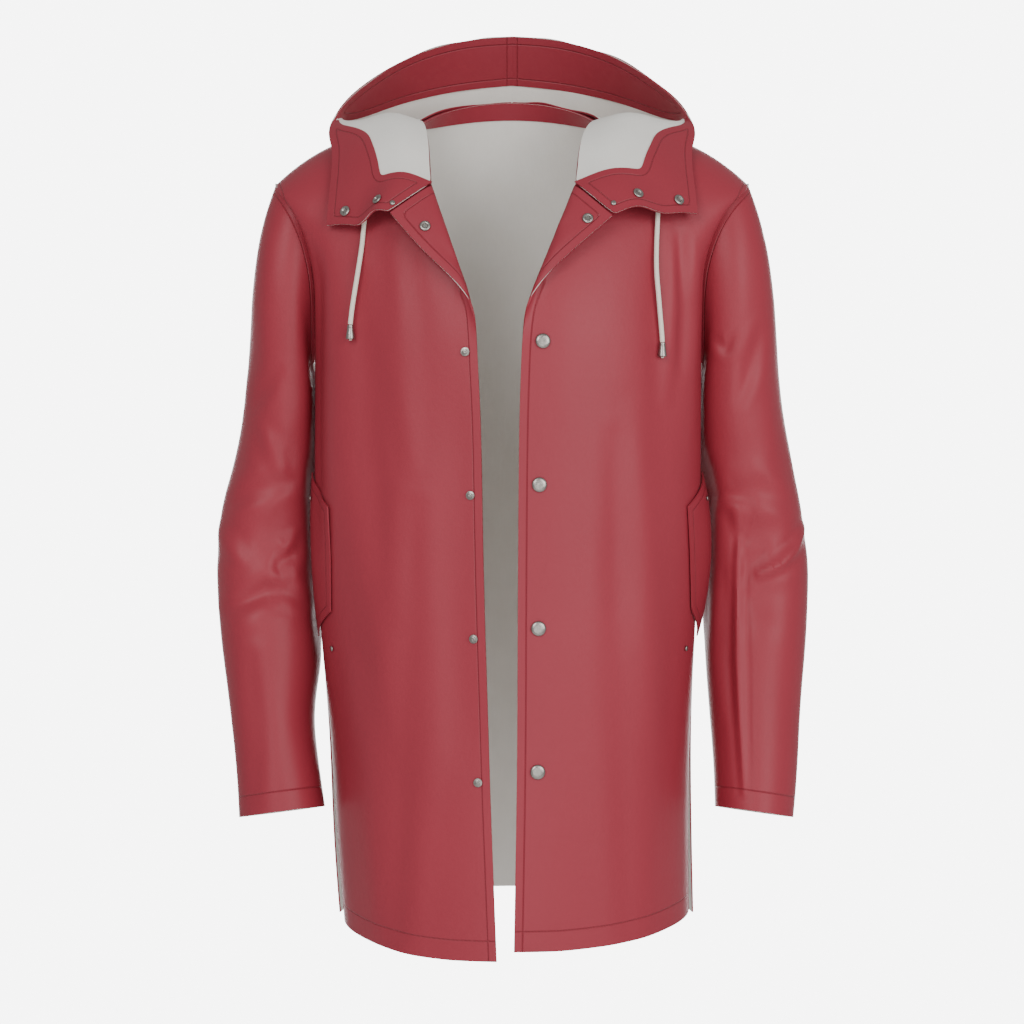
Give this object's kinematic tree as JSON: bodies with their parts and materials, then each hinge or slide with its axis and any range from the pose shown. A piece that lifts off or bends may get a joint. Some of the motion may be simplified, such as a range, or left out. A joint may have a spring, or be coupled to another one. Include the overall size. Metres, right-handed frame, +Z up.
{
  "type": "hooded raincoat",
  "caption": "Thigh-length hooded raincoat of coated cotton as worn: open snap front, turned lapels, hood down, long sleeves, side flaps and drawstrings.",
  "frame": {"origin": "between the shoulders at the height of the neck points, where a wearer holds the coat", "axes": "+Z up, -Y to the front of the coat, +X to the wearer's left"},
  "size_m": [0.6364, 0.3721, 0.9718],
  "materials": {
    "coated_cotton": "smooth satin coating outside, off-white cotton inside",
    "facing": "smooth satin coating",
    "drawstring": "matte braid",
    "nickel": "soft polished nickel"
  },
  "bodies": {
    "root": {"back": "coated_cotton", "neck_tape_back": "facing", "front_right": "coated_cotton", "front_facing_right": "facing", "neck_tape_right": "facing", "sleeve_right": "coated_cotton", "hood_right": "coated_cotton", "hood_facing_right": "facing", "pocket_flap_right": "coated_cotton", "front_left": "coated_cotton", "front_facing_left": "facing", "neck_tape_left": "facing", "sleeve_left": "coated_cotton", "hood_left": "coated_cotton", "hood_facing_left": "facing", "pocket_flap_left": "coated_cotton", "snap_stud_1": "nickel", "snap_stud_2": "nickel", "snap_stud_3": "nickel", "snap_stud_4": "nickel", "lapel_snap_right": "nickel", "vent_rivet_right": "nickel", "hood_snap_right_1": "nickel", "hood_snap_right_2": "nickel", "neck_rivet_right": "nickel", "cord_eyelet_right": "nickel", "pocket_rivet_right": "nickel", "drawstring_right": "drawstring", "cord_end_right": "nickel", "snap_cap_1": "nickel", "snap_cap_2": "nickel", "snap_cap_3": "nickel", "snap_cap_4": "nickel", "lapel_snap_left": "nickel", "vent_rivet_left": "nickel", "hood_snap_left_1": "nickel", "hood_snap_left_2": "nickel", "neck_rivet_left": "nickel", "cord_eyelet_left": "nickel", "pocket_rivet_left": "nickel", "drawstring_left": "drawstring", "cord_end_left": "nickel"}
  },
  "joints": []
}
